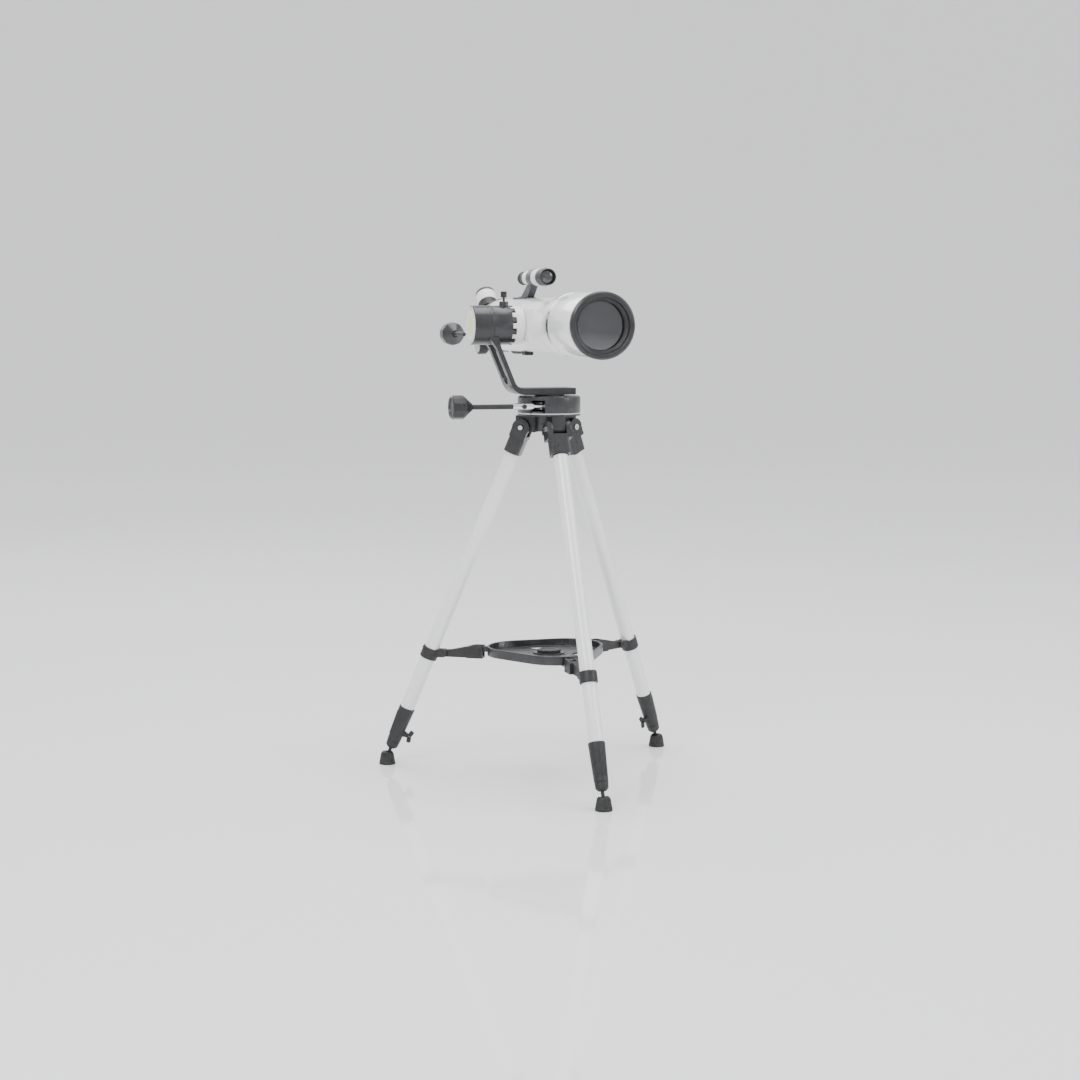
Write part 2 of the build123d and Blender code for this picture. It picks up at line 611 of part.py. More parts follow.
def tube_saddle():
    """White cradle between the clutch drum and the tube, with dogs between the drum's teeth."""
    start = TOOTH_END_X + GAP
    body = rod((start, 0, AXIS_Z), (-57.5, 0, AXIS_Z), ALT_R - 1.5)
    body += rod((-57.5, 0, AXIS_Z), (-55.5, 0, AXIS_Z), ALT_R - 4)
    body += block((-56, -48, AXIS_Z - 30), (-38, 48, AXIS_Z + 30))
    ring = rod((CLUTCH_END_X + GAP, 0, AXIS_Z), (start, 0, AXIS_Z), ALT_R - 2)
    ring -= rod((CLUTCH_END_X - 1, 0, AXIS_Z), (start + 1, 0, AXIS_Z), ALT_R - 8)
    sector = Pos(0, 0, AXIS_Z) * Rot(0, 90, 0) * Pos(0, 0, CLUTCH_END_X) * extrude(
        make_face(Polyline([(0, 0), (60, -8.5), (60, 8.5)], close=True)), start - CLUTCH_END_X)
    for i in range(TOOTH_COUNT):
        turn = Pos(0, 0, AXIS_Z) * Rot((i + 0.5) * 360 / TOOTH_COUNT + 2, 0, 0) * Pos(0, 0, -AXIS_Z)
        body += ring & (turn * sector)
    return body - rod((0, -100, AXIS_Z), (0, 100, AXIS_Z), TUBE_R)


# ---------------------------------------------------------------- optical tube
def main_tube():
    """White tube with an S-shaped flare up to the dew shield's diameter."""
    def flare(radius_front, radius_rear):
        front = (radius_front, TRIM_END_Y)
        rear = (radius_rear, FLARE_END_Y)
        bend = Spline([front, rear], tangents=[(0, 1), (0, 1)], tangent_scalars=[1.0, 1.0])
        return bend

    outer = flare(DEW_R, TUBE_R)
    inner = flare(DEW_R - TUBE_WALL, TUBE_R - TUBE_WALL)
    outline = Curve() + [
        outer,
        Line((TUBE_R, FLARE_END_Y), (TUBE_R, TUBE_REAR_Y)),
        Line((TUBE_R, TUBE_REAR_Y), (TUBE_R - TUBE_WALL, TUBE_REAR_Y)),
        Line((TUBE_R - TUBE_WALL, TUBE_REAR_Y), (TUBE_R - TUBE_WALL, FLARE_END_Y)),
        inner,
        Line((DEW_R - TUBE_WALL, TRIM_END_Y), (DEW_R, TRIM_END_Y)),
    ]
    face = make_face(Plane.XZ * outline)
    body = Plane(origin=Vector(0, 0, AXIS_Z), z_dir=Vector(0, 1, 0)) * revolve(face, Axis.Z)
    return body


def tube_ring(y_start, y_end, outer, inner):
    """A plain hollow cylinder on the tube's axis."""
    return rod((0, y_start, AXIS_Z), (0, y_end, AXIS_Z), outer) - rod(
        (0, y_start - 1, AXIS_Z), (0, y_end + 1, AXIS_Z), inner)


def front_ring():
    """Black front cell: rounded rim, stepped bore and the seat of the lens."""
    outline = [
        (50, 0),
        (RING_R - 1.5, 0),
        (RING_R, 1.5),
        (RING_R, 10),
        (DEW_R - TUBE_WALL, 10),
        (DEW_R - TUBE_WALL, 34),
        (LENS_R + 2, 34),
        (LENS_R + 2, 24),
        (LENS_R, 24),
        (LENS_R, 14),
        (LENS_R - 2, 14),
        (LENS_R - 2, 11),
        (47.5, 8.5),
        (50, 8.5),
    ]
    return turned(outline, (0, FRONT_Y, AXIS_Z), (0, 1, 0))


def objective_lens():
    """Cemented objective, convex to the front."""
    edge = FRONT_Y + 14
    disc = rod((0, edge, AXIS_Z), (0, edge + 9, AXIS_Z), LENS_R)
    sagitta = 5.0
    radius = ((LENS_R - 2) ** 2 + sagitta ** 2) / (2 * sagitta)
    cap = Pos(0, edge - sagitta + radius, AXIS_Z) * Sphere(radius)
    cap &= rod((0, edge - 10, AXIS_Z), (0, edge, AXIS_Z), LENS_R - 2.1)
    return disc + cap


def focuser_housing():
    """Black rear cell that narrows to the rack-and-pinion focuser."""
    outline = [
        (DRAWTUBE_R + 0.3, TUBE_REAR_Y - 22),
        (TUBE_R - TUBE_WALL, TUBE_REAR_Y - 22),
        (TUBE_R - TUBE_WALL, TUBE_REAR_Y),
        (TUBE_R + 0.8, TUBE_REAR_Y),
        (TUBE_R + 0.8, TUBE_REAR_Y + 8),
        (40, TUBE_REAR_Y + 22),
        (FOCUSER_R + 1, TUBE_REAR_Y + 27),
        (FOCUSER_R, TUBE_REAR_Y + 30),
        (FOCUSER_R, FOCUSER_END_Y - 2),
        (FOCUSER_R - 2, FOCUSER_END_Y),
        (DRAWTUBE_R + 0.3, FOCUSER_END_Y),
    ]
    body = turned(outline, (0, 0, AXIS_Z), (0, 1, 0))
    case = block((-17, PINION_Y - 13, PINION_Z - 14), (17, PINION_Y + 13, PINION_Z + 18))
    case = fillet(case.edges().filter_by(Axis.X).sort_by(Axis.Z)[:2], 8)
    body += case - rod((0, 300, AXIS_Z), (0, 400, AXIS_Z), DRAWTUBE_R + 0.3)
    body -= rod((-9, PINION_Y, PINION_Z), (9, PINION_Y, PINION_Z), PINION_R + 0.8)
    body -= block((-5, TUBE_REAR_Y - 30, PINION_Z + PINION_R + 0.1), (5, FOCUSER_END_Y + 5, AXIS_Z - 20))
    return body - rod((-30, PINION_Y, PINION_Z), (30, PINION_Y, PINION_Z), 3.0 + RUN_FIT)


def focuser_drawtube():
    """Sliding tube with a rack along its underside and a rear clamping ring."""
    rear = FOCUSER_END_Y
    start = rear - 92
    body = rod((0, start, AXIS_Z), (0, rear + GAP, AXIS_Z), DRAWTUBE_R)
    body += rod((0, rear + GAP, AXIS_Z), (0, rear + 9, AXIS_Z), DRAWTUBE_R + 2.5)
    body -= rod((0, start - 1, AXIS_Z), (0, rear - 6, AXIS_Z), DRAWTUBE_R - 2.5)
    body -= rod((0, rear - 10, AXIS_Z), (0, rear + 20, AXIS_Z), NOSE_R + RUN_FIT)
    low = PINION_Z + PINION_R + 0.5
    rack = block((-4, start + 2, low), (4, rear - 2, AXIS_Z - DRAWTUBE_R + 2))
    pitch = 3.8
    for i in range(22):
        rack -= block((-5, start + 4 + i * pitch, low - 1), (5, start + 4 + i * pitch + 1.7, low + 1.5))
    screw = rod((0, rear + 5, AXIS_Z + DRAWTUBE_R), (0, rear + 5, AXIS_Z + DRAWTUBE_R + 6), 2)
    screw += rod((0, rear + 5, AXIS_Z + DRAWTUBE_R + 4), (0, rear + 5, AXIS_Z + DRAWTUBE_R + 8.5), 3.6)
    return body + rack + screw


NOSE_R = 15.8
HOLDER_LENGTH = 62.0


def star_diagonal():
    """Diagonal body with its nose in the drawtube and a raised eyepiece holder."""
    bend = Vector(0, DIAGONAL_Y, AXIS_Z)
    up = Vector(0, math.sqrt(0.5), math.sqrt(0.5))
    nose = rod((0, FOCUSER_END_Y - 5, AXIS_Z), (0, DIAGONAL_Y, AXIS_Z), NOSE_R)
    body = nose + rod((0, FOCUSER_END_Y + 9 + GAP, AXIS_Z), (0, DIAGONAL_Y, AXIS_Z), 18.4)
    body += Pos(*bend) * Sphere(18.4)
    end = bend + up * HOLDER_LENGTH
    body += rod(tuple(bend), tuple(end), 18.4)
    body += rod(tuple(bend + up * 44), tuple(end), 20.5)
    return body - rod(tuple(bend + up * 33.6), tuple(end + up), NOSE_R + RUN_FIT)


def eyepiece():
    """White-barrelled eyepiece with a thin dark-edged rim."""
    up = (0, math.sqrt(0.5), math.sqrt(0.5))
    outline = [
        (0, 34),
        (NOSE_R, 34),
        (NOSE_R, HOLDER_LENGTH + GAP),
        (19.5, HOLDER_LENGTH + GAP),
        (21, HOLDER_LENGTH + 2),
        (21, 89),
        (20, 93),
        (17.5, 95),
        (13, 95),
        (11.5, 91),
        (0, 91),
    ]
    return turned(outline, (0, DIAGONAL_Y, AXIS_Z), up)


def focus_pinion():
    """Pinion and its cross shaft, with bright end caps."""
    gear = rod((-7, PINION_Y, PINION_Z), (7, PINION_Y, PINION_Z), PINION_R)
    tooth = Pos(0, PINION_R, 0) * Box(16, 2.6, 1.7)
    for i in range(16):
        gear -= Pos(0, PINION_Y, PINION_Z) * Rot(i * 360 / 16, 0, 0) * tooth
    shaft = rod((-44, PINION_Y, PINION_Z), (44, PINION_Y, PINION_Z), 3.0)
    shaft += rod((-49, PINION_Y, PINION_Z), (-46.2, PINION_Y, PINION_Z), 15.0)
    shaft += rod((46.2, PINION_Y, PINION_Z), (49, PINION_Y, PINION_Z), 15.0)
    shaft += rod((-48, PINION_Y, PINION_Z), (48, PINION_Y, PINION_Z), 3.0)
    return gear + shaft


def focus_knobs():
    """The two focus knobs, one at each end of the pinion shaft."""
    outline = [(3.0, 0), (14.5, 0), (17, 2.5), (18.4, 5), (19, 18.5), (18, 20), (3.0, 20)]
    knobs = []
    for side in (-1, 1):
        knob = turned(outline, (side * 26, PINION_Y, PINION_Z), (side, 0, 0))
        groove = Pos(0, PINION_Y, PINION_Z) * rod((side * 30, 19.7, 0), (side * 50, 19.7, 0), 1.1)
        for i in range(24):
            turn = Pos(0, PINION_Y, PINION_Z) * Rot(i * 15, 0, 0) * Pos(0, -PINION_Y, -PINION_Z)
            knob -= turn * groove
        knobs.append(knob)
    return group(knobs)


def tube_foot():
    """Small rest block screwed under the tube."""
    body = block((-9, 128, AXIS_Z - TUBE_R - 7), (9, 156, AXIS_Z - TUBE_R + 4))
    body = fillet(body.edges().filter_by(Axis.Z), 4)
    body = chamfer(body.edges().group_by(Axis.Z)[0], 1.5)
    return body - rod((0, 0, AXIS_Z), (0, 200, AXIS_Z), TUBE_R)


# ---------------------------------------------------------------- finder
def finder_bracket():
    """Base on the tube, leaning post and the ring round the finder."""
    top = AXIS_Z + TUBE_R
    base = block((-13, 118, top - 5), (13, 206, top + 1.6))
    base = fillet(base.edges().filter_by(Axis.Z), 6)
    wedge = Polyline(
        [(126, top - 3), (174, top - 3), (116, FINDER_Z - 10), (88, FINDER_Z - 10)], close=True)
    post = extrude(make_face(Plane.YZ * wedge), 7, both=True)
    ring = rod((0, 71, FINDER_Z), (0, 103, FINDER_Z), FINDER_R + 2.8)
    body = base + post + fillet(ring.edges(), 1.0)
    body -= rod((0, 104, FINDER_Z), (0, 160, FINDER_Z), FINDER_R + 1.2)
    body -= rod((0, 60, FINDER_Z), (0, 220, FINDER_Z), FINDER_R)
    return body - rod((0, 0, AXIS_Z), (0, 280, AXIS_Z), TUBE_R)


def finder_tube():
    """White finder barrel with its wider front band."""
    outline = [
        (FINDER_R - 1.6, 34),
        (FINDER_FRONT_R - 2, 34),
        (FINDER_FRONT_R - 2, 40),
        (FINDER_FRONT_R, 40),
        (FINDER_FRONT_R, 68.5),
        (FINDER_FRONT_R - 1, 70.6),
        (FINDER_R, 70.6),
        (FINDER_R, 104.2),
        (FINDER_R + 0.6, 104.2),
        (FINDER_R + 0.6, 134),
        (FINDER_R - 1.6, 134),
    ]
    return turned(outline, (0, 0, FINDER_Z), (0, 1, 0))


def finder_cells():
    """Front cell of the finder with its sunk objective, and the rear cell with the eyepiece."""
    bell = [
        (0, 11),
        (13.0, 11),
        (13.6, 6),
        (14.2, 5),
        (15.2, 5),
        (16.0, 6),
        (16.3, 38.5),
        (16.0, 40),
        (FINDER_FRONT_R - 2, 40),
        (FINDER_FRONT_R - 2, 34),
        (0, 34),
    ]
    rear = [
        (0, 122),
        (FINDER_R - 1.6, 122),
        (FINDER_R - 1.6, 134),
        (FINDER_R - 0.6, 134),
        (FINDER_R - 0.6, 150),
        (FINDER_R - 1.8, 152),
        (FINDER_R - 1.8, 160),
        (FINDER_R - 0.4, 162),
        (FINDER_R - 0.4, 168),
        (FINDER_R - 1.6, 170),
        (9, 170),
        (8, 166),
        (0, 166),
    ]
    return group([turned(outline, (0, 0, FINDER_Z), (0, 1, 0)) for outline in (bell, rear)])


def finder_screws():
    """Screws along the finder: front cell, ring, and the clamp screw of the foot."""
    screws = []
    for y, seat in ((22, 15.9), (87, FINDER_R + 2.6), (126, FINDER_R + 0.4)):
        screws.append(rod((0, y, FINDER_Z + seat), (0, y, FINDER_Z + seat + 2.4), 3.0))
    screws.append(rod((0, 22, FINDER_Z - 18.4), (0, 22, FINDER_Z - 15.9), 3.0))
    top = AXIS_Z + TUBE_R + 1.6
    screws.append(rod((0, 192, top), (0, 192, top + 2.4), 4.0))
    return group(screws)


# ---------------------------------------------------------------- tray
def tray_outline(inset):
    """Triangle with widely rounded corners toward the legs, set in from the tray's edge."""
    side = TRAY_SIDE_R - inset
    corner = 2 * TRAY_SIDE_R - TRAY_R - inset
    triangle = fillet(RegularPolygon(2 * side, 3).vertices(), corner)
    return Rot(0, 0, -90) * triangle


def tray():
    """Shallow accessory tray with holes, under-ribs and three hooks over the brace pins."""
    body = Pos(0, 0, TRAY_SKIRT_Z) * extrude(tray_outline(0), TRAY_TOP_Z - TRAY_SKIRT_Z)
    body -= Pos(0, 0, TRAY_FLOOR_Z) * extrude(tray_outline(4.2), 20)
    body -= Pos(0, 0, TRAY_SKIRT_Z - 1) * extrude(tray_outline(4.2), TRAY_FLOOR_Z - 3 - TRAY_SKIRT_Z + 1)
    body = fillet(body.edges().group_by(Axis.Z)[-1], 1.2)
    hook = block((-5.5, -TRAY_PIN_R - 5.5, TRAY_PIN_Z - 2), (5.5, -TRAY_R + 2, TRAY_PIN_Z + 8.5))
    hook -= rod((-10, -TRAY_PIN_R, TRAY_PIN_Z), (10, -TRAY_PIN_R, TRAY_PIN_Z), PIN_R + GAP)
    throat = Polyline(
        [
            (-TRAY_PIN_R - PIN_R - GAP, TRAY_PIN_Z),
            (-TRAY_PIN_R + PIN_R + GAP, TRAY_PIN_Z),
            (-TRAY_PIN_R + PIN_R + 4, TRAY_PIN_Z - 6),
            (-TRAY_PIN_R - PIN_R - 1, TRAY_PIN_Z - 6),
        ],
        close=True,
    )
    hook -= extrude(make_face(Plane.YZ * throat), 10, both=True)
    rib = block((-1.6, -TRAY_R + 4, TRAY_SKIRT_Z - 7), (1.6, -10, TRAY_FLOOR_Z - 1))
    for copy in around_z(hook, 3) + around_z(rib, 3):
        body += copy
    body += rod((0, 0, TRAY_SKIRT_Z - 7), (0, 0, TRAY_FLOOR_Z), 14)
    body += rod((0, 0, TRAY_FLOOR_Z), (0, 0, TRAY_FLOOR_Z + 2.4), 31)
    hole = rod((0, TRAY_HOLE_PITCH_R, 200), (0, TRAY_HOLE_PITCH_R, 260), TRAY_HOLE_R)
    for copy in around_z(hole, 3):
        body -= copy
    return body - rod((0, 0, 200), (0, 0, 260), 4.0 + RUN_FIT)


def tray_knob():
    """Centre knob that clamps the tray, on its own stud."""
    base = TRAY_FLOOR_Z + 2.4 + GAP
    outline = [
        (0, TRAY_SKIRT_Z - 9),
        (4.0, TRAY_SKIRT_Z - 9),
        (4.0, base),
        (22, base),
        (23, base + 1),
        (23, base + 3.4),
        (21.8, base + 4.6),
        (17, base + 4.6),
        (15.5, base + 3.6),
        (0, base + 3.6),
    ]
    knob = turned(outline, (0, 0, 0), (0, 0, 1))
    flute = rod((26, 0, base - 2), (26, 0, base + 12), 4.5)
    for copy in around_z(flute, 12):
        knob -= copy
    return knob


# ---------------------------------------------------------------- whole object
def build_legs(nodes):
    """The eight pieces of each leg, made by one loop."""
    bolts = []
    for index, name in enumerate(LEG_NAMES):
        place = leg_place(index)
        stand = Rot(0, 0, 120 * index)
        nodes["leg_bracket_" + name] = place * leg_bracket()
        nodes["leg_tube_" + name] = place * leg_tube()
        nodes["leg_sleeve_" + name] = place * leg_sleeve()
        nodes["wing_screw_" + name] = place * wing_screw()
        nodes["inner_leg_" + name] = place * inner_leg()
        nodes["brace_collar_" + name] = place * brace_collar()
        nodes["brace_" + name] = stand * brace()
        nodes["rubber_foot_" + name] = stand * rubber_foot()
        bolts.append(stand * Pos(0, -HINGE_R, HINGE_Z) * hinge_bolt())
    nodes["hinge_bolts"] = group(bolts)


def build_head(nodes):
    """Hub, azimuth unit, arm and altitude unit."""
    nodes["hub_casting"] = hub_casting()
    nodes["azimuth_spindle"] = azimuth_spindle()
    nodes["azimuth_housing"] = azimuth_housing()
    nodes["azimuth_trim_ring"] = azimuth_trim_ring()
    nodes["fork_arm"] = fork_arm()
    azimuth = azimuth_drive_place()
    nodes["azimuth_worm"] = azimuth * drive_worm(5.4, 12, 3.5, 27, AZ_COUPLING_START)
    nodes["azimuth_drive_shaft"] = azimuth * drive_shaft(AZ_COUPLING_START)
    nodes["azimuth_drive_knob"] = azimuth * drive_knob(AZ_COUPLING_START)
    altitude = altitude_drive_place()
    nodes["altitude_worm"] = altitude * drive_worm(4.0, 11, 3.0, 24, ALT_COUPLING_START)
    nodes["altitude_drive_shaft"] = altitude * drive_shaft(ALT_COUPLING_START)
    nodes["altitude_drive_knob"] = altitude * drive_knob(ALT_COUPLING_START)
    nodes["altitude_housing"] = altitude_housing()
    nodes["altitude_dial"] = altitude_dial()
    nodes["altitude_worm_wheel"] = altitude_worm_wheel()
    nodes["altitude_clutch"] = altitude_clutch()
    nodes["clutch_lock_knob"] = clutch_lock_knob()
    nodes["tube_saddle"] = tube_saddle()


def build_optics(nodes):
    """Optical tube, focuser, diagonal and finder."""
    nodes["main_tube"] = main_tube()
    nodes["dew_shield"] = tube_ring(FRONT_Y + 10, DEW_END_Y, DEW_R, DEW_R - TUBE_WALL)
    nodes["dew_trim_ring"] = tube_ring(DEW_END_Y, TRIM_END_Y, DEW_R + 0.5, DEW_R - TUBE_WALL)
    nodes["front_ring"] = front_ring()
    nodes["objective_lens"] = objective_lens()
    nodes["focuser_housing"] = focuser_housing()
    nodes["focuser_drawtube"] = focuser_drawtube()
    nodes["focus_pinion"] = focus_pinion()
    nodes["focus_knobs"] = focus_knobs()
    nodes["star_diagonal"] = star_diagonal()
    nodes["eyepiece"] = eyepiece()
    nodes["tube_foot"] = tube_foot()
    nodes["finder_bracket"] = finder_bracket()
    nodes["finder_tube"] = finder_tube()
    nodes["finder_cells"] = finder_cells()
    nodes["finder_screws"] = finder_screws()


def build():
    """All nodes, by name."""
    nodes = {}
    build_legs(nodes)
    build_head(nodes)
    build_optics(nodes)
    nodes["tray"] = tray()
    nodes["tray_knob"] = tray_knob()
    return nodes


os.makedirs("parts", exist_ok=True)
NODES = build()
for node_name, shape in NODES.items():
    export_step(shape, os.path.join("parts", node_name + ".step"))
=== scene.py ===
import json
import math

import bmesh
import bpy
from mathutils import Matrix, Vector


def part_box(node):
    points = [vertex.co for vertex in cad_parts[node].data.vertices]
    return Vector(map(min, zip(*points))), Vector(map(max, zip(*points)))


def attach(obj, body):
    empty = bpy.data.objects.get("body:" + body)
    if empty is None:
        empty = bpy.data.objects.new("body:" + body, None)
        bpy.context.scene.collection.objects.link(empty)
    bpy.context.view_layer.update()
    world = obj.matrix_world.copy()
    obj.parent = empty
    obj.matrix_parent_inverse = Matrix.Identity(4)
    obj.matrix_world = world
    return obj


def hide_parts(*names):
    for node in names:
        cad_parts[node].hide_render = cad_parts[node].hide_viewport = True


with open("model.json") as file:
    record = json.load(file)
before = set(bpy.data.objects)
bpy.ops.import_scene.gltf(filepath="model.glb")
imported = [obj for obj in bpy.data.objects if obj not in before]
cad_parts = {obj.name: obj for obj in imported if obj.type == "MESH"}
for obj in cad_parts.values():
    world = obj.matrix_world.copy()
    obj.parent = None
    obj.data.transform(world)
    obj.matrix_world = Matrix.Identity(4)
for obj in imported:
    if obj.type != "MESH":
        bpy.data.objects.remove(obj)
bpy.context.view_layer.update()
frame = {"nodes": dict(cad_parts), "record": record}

MM = 0.001
LEGS = ("front", "right", "left")


# ------------------------------------------------------------------ places taken from the frame
def low(node):
    """Lowest corner of a CAD node."""
    return Vector(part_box(node)[0])


def high(node):
    """Highest corner of a CAD node."""
    return Vector(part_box(node)[1])


def centre(node):
    """Middle of a CAD node's box."""
    return (low(node) + high(node)) / 2


def half_width(node):
    """Half of a CAD node's size along X."""
    return (high(node).x - low(node).x) / 2


def half_depth(node):
    """Half of a CAD node's size along Y."""
    return (high(node).y - low(node).y) / 2


def joint(name):
    """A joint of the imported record."""
    return next(j for j in frame["record"]["behaviour"]["joints"] if j["name"] == name)


def body_of(node):
    """The body that a CAD node belongs to."""
    bodies = frame["record"]["behaviour"]["bodies"]
    return next(name for name, nodes in bodies.items() if node in nodes)


def facing(direction, spin=0.0):
    """A rotation that takes +Z to a direction."""
    turn = Vector(direction).normalized().to_track_quat("Z", "Y").to_matrix().to_4x4()
    return turn @ Matrix.Rotation(spin, 4, "Z")


# ------------------------------------------------------------------ materials
class Paint:
    """A node material with a few short ways to add detail to it."""

    def __init__(self, name, color, roughness, metallic=0.0, **sockets):
        self.material = bpy.data.materials.new(name)
        self.material.use_nodes = True
        self.tree = self.material.node_tree
        self.shader = self.tree.nodes["Principled BSDF"]
        self.color = color
        self.shader.inputs["Base Color"].default_value = (*color, 1)
        self.shader.inputs["Roughness"].default_value = roughness
        self.shader.inputs["Metallic"].default_value = metallic
        for socket, value in sockets.items():
            self.shader.inputs[socket.replace("_", " ")].default_value = value
        self.coords = self.node("ShaderNodeTexCoord").outputs["Object"]
        self.height = None

    def node(self, kind, **settings):
        made = self.tree.nodes.new(kind)
        for key, value in settings.items():
            setattr(made, key, value)
        return made

    def link(self, output, socket):
        self.tree.links.new(output, socket)

    def math(self, operation, a, b=None, c=None):
        """One math node on numbers or other nodes' outputs."""
        made = self.node("ShaderNodeMath", operation=operation)
        for socket, value in zip(made.inputs, (a, b, c)):
            if value is None:
                continue
            if isinstance(value, (int, float)):
                socket.default_value = value
            else:
                self.link(value, socket)
        return made.outputs[0]

    def noise(self, scale, detail=3.0, stretch=(1, 1, 1), roughness=0.5):
        """Noise in the object's own metres, with scale in features per metre."""
        place = self.node("ShaderNodeMapping")
        place.inputs["Scale"].default_value = stretch
        self.link(self.coords, place.inputs["Vector"])
        made = self.node("ShaderNodeTexNoise")
        made.inputs["Scale"].default_value = scale
        made.inputs["Detail"].default_value = detail
        made.inputs["Roughness"].default_value = roughness
        self.link(place.outputs[0], made.inputs["Vector"])
        return made.outputs["Fac"]

    def ranged(self, value, from_low, from_high, to_low, to_high):
        """A value carried from one range to another."""
        made = self.node("ShaderNodeMapRange")
        sockets = ("From Min", "From Max", "To Min", "To Max")
        for socket, number in zip(sockets, (from_low, from_high, to_low, to_high)):
            made.inputs[socket].default_value = number
        self.link(value, made.inputs["Value"])
        return made.outputs["Result"]

    def mixed(self, factor, a, b):
        """A colour between a and b."""
        made = self.node("ShaderNodeMix", data_type="RGBA")
        for socket, value in ((made.inputs[6], a), (made.inputs[7], b)):
            if isinstance(value, tuple):
                socket.default_value = (*value, 1)
            else:
                self.link(value, socket)
        self.link(factor, made.inputs[0])
        return made.outputs[2]

    def tint(self, scale, amount, detail=4.0, stretch=(1, 1, 1)):
        """Slow variation of the base colour."""
        dark = tuple(c * (1 - amount) for c in self.color)
        light = tuple(min(1, c * (1 + amount)) for c in self.color)
        factor = self.ranged(self.noise(scale, detail, stretch), 0.3, 0.7, 0, 1)
        self.link(self.mixed(factor, dark, light), self.shader.inputs["Base Color"])
        return self

    def wear(self, scale, low_rough, high_rough, detail=5.0, stretch=(1, 1, 1)):
        """Roughness that wanders between two values."""
        value = self.ranged(self.noise(scale, detail, stretch), 0.3, 0.7, low_rough, high_rough)
        self.link(value, self.shader.inputs["Roughness"])
        return self

    def grain(self, scale, depth, detail=2.0, stretch=(1, 1, 1), strength=1.0):
        """Fine relief, with its depth in metres."""
        self.relief(self.noise(scale, detail, stretch), depth, strength)
        return self

    def relief(self, height, depth, strength=1.0):
        """Bump from a height, chained after any earlier one."""
        bump = self.node("ShaderNodeBump")
        bump.inputs["Strength"].default_value = strength
        bump.inputs["Distance"].default_value = depth
        self.link(height, bump.inputs["Height"])
        if self.height is not None:
            self.link(self.height, bump.inputs["Normal"])
        self.height = bump.outputs["Normal"]
        self.link(self.height, self.shader.inputs["Normal"])
        return self


def white_paint():
    coat = {"Coat_Weight": 0.6, "Coat_Roughness": 0.05}
    paint = Paint("white_paint", (0.84, 0.845, 0.845), 0.16, IOR=1.5, **coat)
    return paint.tint(9, 0.012).wear(35, 0.13, 0.24).grain(900, 0.00002, strength=0.12)


def white_plastic():
    paint = Paint("white_plastic", (0.80, 0.80, 0.79), 0.3, IOR=1.46)
    return paint.tint(22, 0.02).wear(60, 0.24, 0.38).grain(2600, 0.00003, strength=0.2)


def black_gloss():
    coat = {"Coat_Weight": 0.15, "Coat_Roughness": 0.12}
    paint = Paint("black_gloss", (0.020, 0.020, 0.022), 0.3, IOR=1.48, **coat)
    return paint.tint(40, 0.25).wear(45, 0.25, 0.4).grain(1800, 0.00003, strength=0.15)


def black_metal():
    coat = {"Coat_Weight": 0.1, "Coat_Roughness": 0.15}
    paint = Paint("black_metal", (0.022, 0.022, 0.024), 0.34, IOR=1.48, **coat)
    return paint.tint(30, 0.25).wear(50, 0.29, 0.44).grain(1400, 0.00005, strength=0.25)


def black_matte():
    paint = Paint("black_matte", (0.018, 0.018, 0.019), 0.48, IOR=1.47)
    return paint.tint(55, 0.25).wear(80, 0.42, 0.58).grain(3200, 0.00006, strength=0.5)


def dark_grey():
    paint = Paint("dark_grey", (0.045, 0.046, 0.05), 0.4, IOR=1.47)
    return paint.tint(50, 0.2).wear(80, 0.32, 0.5).grain(3000, 0.00005, strength=0.4)


def rubber():
    paint = Paint("rubber", (0.02, 0.02, 0.02), 0.62, IOR=1.5)
    return paint.tint(90, 0.35).wear(120, 0.5, 0.78).grain(2400, 0.0001, strength=0.6)


def chrome():
    paint = Paint("chrome", (0.78, 0.79, 0.81), 0.12, metallic=1.0)
    paint.tint(30, 0.03).wear(160, 0.07, 0.2, stretch=(1, 6, 1))
    return paint.grain(2600, 0.00001, strength=0.1)


def steel():
    paint = Paint("steel", (0.6, 0.6, 0.61), 0.28, metallic=1.0)
    paint.tint(60, 0.08).wear(220, 0.2, 0.4, stretch=(1, 1, 9))
    return paint.grain(2200, 0.00003, strength=0.25)


def brass():
    paint = Paint("brass", (0.62, 0.46, 0.19), 0.3, metallic=1.0)
    return paint.tint(80, 0.12).wear(200, 0.22, 0.42).grain(1800, 0.00003, strength=0.3)


def lens_glass():
    """Coated glass: dark charcoal, with a faint cool bloom where the coating catches light."""
    coat = {"Coat_Weight": 1.0, "Coat_Roughness": 0.02}
    paint = Paint("lens_glass", (0.016, 0.016, 0.017), 0.06, IOR=1.6, **coat)
    paint.shader.inputs["Coat Tint"].default_value = (0.95, 0.97, 1.0, 1)
    return paint.tint(14, 0.4).wear(40, 0.03, 0.09)


